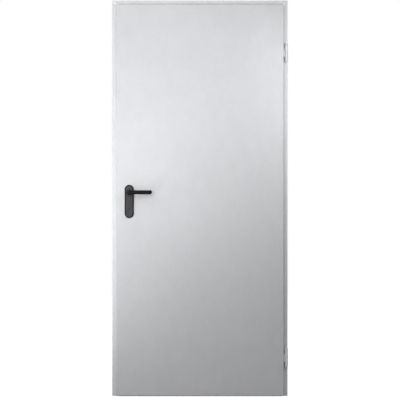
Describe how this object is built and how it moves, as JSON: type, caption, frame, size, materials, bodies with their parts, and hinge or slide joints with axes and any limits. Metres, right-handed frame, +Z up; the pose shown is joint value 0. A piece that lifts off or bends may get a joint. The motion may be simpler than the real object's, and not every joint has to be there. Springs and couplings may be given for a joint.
{
  "type": "steel utility door",
  "caption": "Single-leaf galvanised steel utility door in a folded corner frame, with three-part hinges, a rebated lip, a black lever handle on a long plate and a keyhole.",
  "frame": {"origin": "centre of the floor rail's underside, at floor level, midway between the jambs", "axes": "+X to the right seen from the pull side where the hinges are on the right, +Y through the doorway from the pull side to the push side, +Z up"},
  "size_m": [0.912, 0.158, 2.05],
  "materials": {
    "leaf_sheet": "hot-dip galvanised sheet with a fine spangle",
    "frame_sheet": "hot-dip galvanised sheet, 1.5 mm, folded",
    "bracket_sheet": "galvanised strip, dull",
    "hinge_steel": "zinc-plated steel",
    "bearing_steel": "bright bearing ring",
    "lock_steel": "zinc-plated lock parts",
    "handle_plastic": "black polyamide, fine satin",
    "insert_plastic": "black polyamide",
    "seal_rubber": "black EPDM seal"
  },
  "bodies": {
    "frame": {"frame_jamb_hinge": "frame_sheet", "frame_jamb_lock": "frame_sheet", "frame_head": "frame_sheet", "floor_rail": "bracket_sheet", "strike_plate": "bracket_sheet", "wall_anchor_hinge_bottom": "bracket_sheet", "wall_anchor_hinge_middle": "bracket_sheet", "wall_anchor_hinge_top": "bracket_sheet", "wall_anchor_lock_bottom": "bracket_sheet", "wall_anchor_lock_middle": "bracket_sheet", "wall_anchor_lock_top": "bracket_sheet", "frame_seal_hinge": "seal_rubber", "frame_seal_lock": "seal_rubber", "frame_seal_head": "seal_rubber", "hinge_upper_top_knuckle": "hinge_steel", "hinge_upper_bottom_knuckle": "hinge_steel", "hinge_upper_pin": "hinge_steel", "hinge_upper_bearing": "bearing_steel", "hinge_upper_washer": "hinge_steel", "hinge_lower_top_knuckle": "hinge_steel", "hinge_lower_bottom_knuckle": "hinge_steel", "hinge_lower_pin": "hinge_steel", "hinge_lower_bearing": "bearing_steel", "hinge_lower_washer": "hinge_steel"},
    "leaf": {"leaf_front_skin": "leaf_sheet", "leaf_back_skin": "leaf_sheet", "lock_case": "lock_steel", "lock_forend": "lock_steel", "latch_bolt": "lock_steel", "dead_bolt": "lock_steel", "handle_plate_front": "handle_plastic", "handle_plate_back": "handle_plastic", "handle_screws": "lock_steel", "key_insert_front": "insert_plastic", "key_insert_back": "insert_plastic", "hinge_upper_leaf_knuckle": "hinge_steel", "hinge_lower_leaf_knuckle": "hinge_steel"},
    "lever": {"lever_front": "handle_plastic", "lever_back": "handle_plastic", "spindle": "lock_steel"}
  },
  "joints": [
    {"name": "leaf_swing", "type": "hinge", "parent": "frame", "child": "leaf", "pos_m": [0.4485, -0.063, 1], "axis": [0, 0, 1], "range_deg": [0, 170]},
    {"name": "lever_turn", "type": "hinge", "parent": "leaf", "child": "lever", "pos_m": [-0.365, -0.0515, 1.055], "axis": [0, 1, 0], "range_deg": [0, 40], "stiffness_Nm_per_rad": 1.2, "springref_deg": -34.38}
  ]
}
